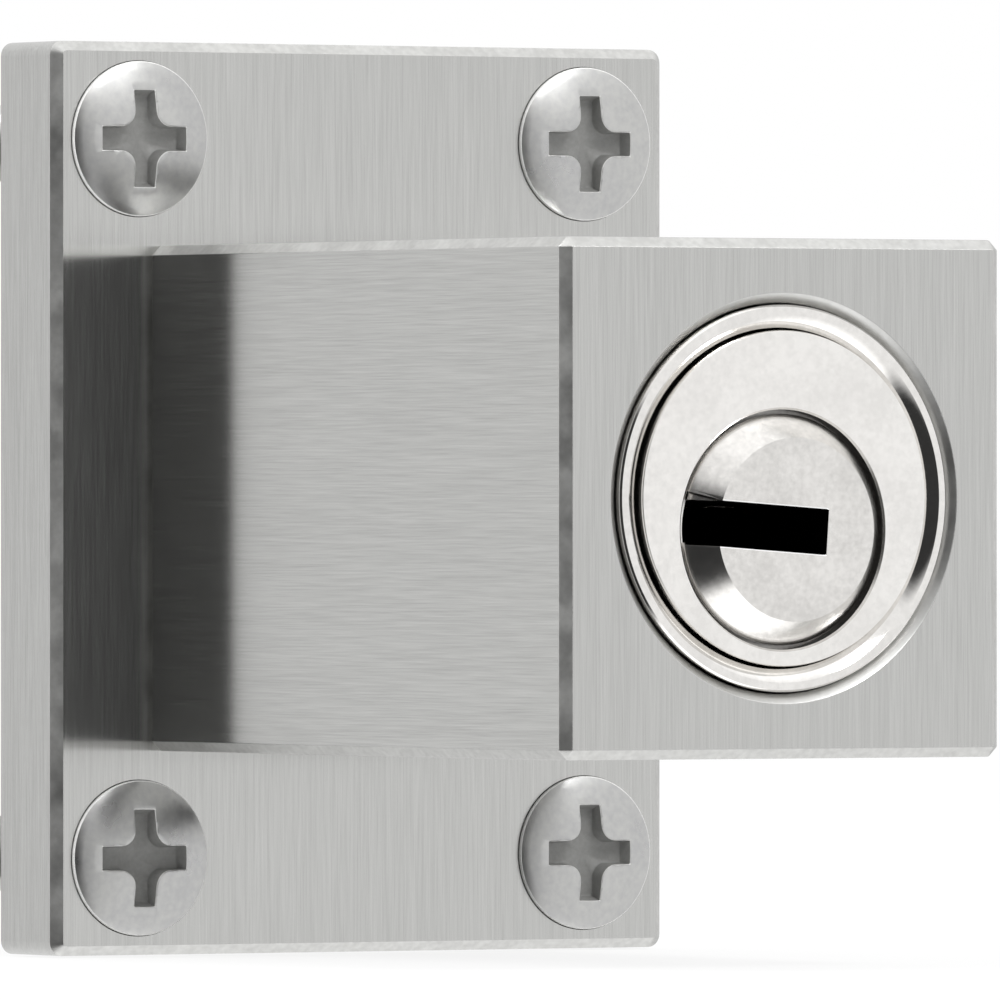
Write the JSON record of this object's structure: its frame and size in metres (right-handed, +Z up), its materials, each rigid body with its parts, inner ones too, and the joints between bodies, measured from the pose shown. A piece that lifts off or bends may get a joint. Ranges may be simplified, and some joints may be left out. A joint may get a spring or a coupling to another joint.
{
  "type": "espagnolette lock",
  "caption": "Surface-mounted espagnolette lock: square block on a screwed base plate, with a flush push cylinder whose pin blocks the vertical rod.",
  "frame": {"origin": "middle of the base plate's back face, which lies on the door or window", "axes": "+Y into the door, -Y along the lock's axis towards the user, +Z up along the rod, +X to the right seen from the front"},
  "size_m": [0.037, 0.0667, 0.047],
  "materials": {
    "satin_steel": "stainless steel, brushed satin",
    "screw_steel": "stainless steel, fine satin",
    "nickel_plate": "nickel plated, polished",
    "plug_nickel": "nickel plated, polished",
    "brass": "turned brass",
    "hard_steel": "hardened steel, ground",
    "spring_steel": "bright spring wire",
    "bush_plastic": "moulded nylon, black"
  },
  "bodies": {
    "lock_case": {"base_plate": "satin_steel", "lock_block": "satin_steel", "mounting_screws": "screw_steel", "block_screws": "screw_steel", "rod_bush_top": "bush_plastic", "rod_bush_bottom": "bush_plastic", "guide_screw": "screw_steel", "lock_sleeve": "nickel_plate", "return_spring_left": "spring_steel", "return_spring_right": "spring_steel"},
    "push_cylinder": {"cylinder_body": "nickel_plate", "chamber_cap": "brass", "bolt_carrier": "brass", "carrier_screws": "screw_steel", "locking_pin": "hard_steel", "catch_spring": "spring_steel", "pin_spring_1": "spring_steel", "pin_spring_2": "spring_steel", "pin_spring_3": "spring_steel", "pin_spring_4": "spring_steel", "pin_spring_5": "spring_steel"},
    "key_plug": {"lock_plug": "plug_nickel", "release_cam": "hard_steel", "retaining_clip": "hard_steel"},
    "catch": {"catch": "hard_steel"},
    "key_pin_1": {"key_pin_1": "brass"},
    "driver_pin_1": {"driver_pin_1": "brass"},
    "key_pin_2": {"key_pin_2": "brass"},
    "driver_pin_2": {"driver_pin_2": "brass"},
    "key_pin_3": {"key_pin_3": "brass"},
    "driver_pin_3": {"driver_pin_3": "brass"},
    "key_pin_4": {"key_pin_4": "brass"},
    "driver_pin_4": {"driver_pin_4": "brass"},
    "key_pin_5": {"key_pin_5": "brass"},
    "driver_pin_5": {"driver_pin_5": "brass"}
  },
  "joints": [
    {"name": "cylinder_slide", "type": "slide", "parent": "lock_case", "child": "push_cylinder", "axis": [0, -1, 0], "range_m": [0, 0.008], "deforming": ["return_spring_left", "return_spring_right"]},
    {"name": "plug_turn", "type": "hinge", "parent": "push_cylinder", "child": "key_plug", "pos_m": [-0.00011, -0.046, -0.00156], "axis": [0, 1, 0], "range_deg": [0, 90]},
    {"name": "catch_slide", "type": "slide", "parent": "push_cylinder", "child": "catch", "axis": [0.9976, 0, -0.0698], "range_m": [-0.0012, 0], "deforming": ["catch_spring"]},
    {"name": "key_pin_1_slide", "type": "slide", "parent": "key_plug", "child": "key_pin_1", "axis": [0.0698, 0, 0.9976], "range_m": [-0.0006, 0]},
    {"name": "driver_pin_1_slide", "type": "slide", "parent": "push_cylinder", "child": "driver_pin_1", "axis": [0.0698, 0, 0.9976], "range_m": [-0.0006, 0], "deforming": ["pin_spring_1"]},
    {"name": "key_pin_2_slide", "type": "slide", "parent": "key_plug", "child": "key_pin_2", "axis": [0.0698, 0, 0.9976], "range_m": [-0.0012, 0]},
    {"name": "driver_pin_2_slide", "type": "slide", "parent": "push_cylinder", "child": "driver_pin_2", "axis": [0.0698, 0, 0.9976], "range_m": [-0.0012, 0], "deforming": ["pin_spring_2"]},
    {"name": "key_pin_3_slide", "type": "slide", "parent": "key_plug", "child": "key_pin_3", "axis": [0.0698, 0, 0.9976], "range_m": [-0.0009, 0]},
    {"name": "driver_pin_3_slide", "type": "slide", "parent": "push_cylinder", "child": "driver_pin_3", "axis": [0.0698, 0, 0.9976], "range_m": [-0.0009, 0], "deforming": ["pin_spring_3"]},
    {"name": "key_pin_4_slide", "type": "slide", "parent": "key_plug", "child": "key_pin_4", "axis": [0.0698, 0, 0.9976], "range_m": [-0.0015, 0]},
    {"name": "driver_pin_4_slide", "type": "slide", "parent": "push_cylinder", "child": "driver_pin_4", "axis": [0.0698, 0, 0.9976], "range_m": [-0.0015, 0], "deforming": ["pin_spring_4"]},
    {"name": "key_pin_5_slide", "type": "slide", "parent": "key_plug", "child": "key_pin_5", "axis": [0.0698, 0, 0.9976], "range_m": [-0.0008, 0]},
    {"name": "driver_pin_5_slide", "type": "slide", "parent": "push_cylinder", "child": "driver_pin_5", "axis": [0.0698, 0, 0.9976], "range_m": [-0.0008, 0], "deforming": ["pin_spring_5"]}
  ],
  "couplings": [
    {"joint": "driver_pin_1_slide", "follows": "key_pin_1_slide", "ratio": 1},
    {"joint": "driver_pin_2_slide", "follows": "key_pin_2_slide", "ratio": 1},
    {"joint": "driver_pin_3_slide", "follows": "key_pin_3_slide", "ratio": 1},
    {"joint": "driver_pin_4_slide", "follows": "key_pin_4_slide", "ratio": 1},
    {"joint": "driver_pin_5_slide", "follows": "key_pin_5_slide", "ratio": 1}
  ]
}
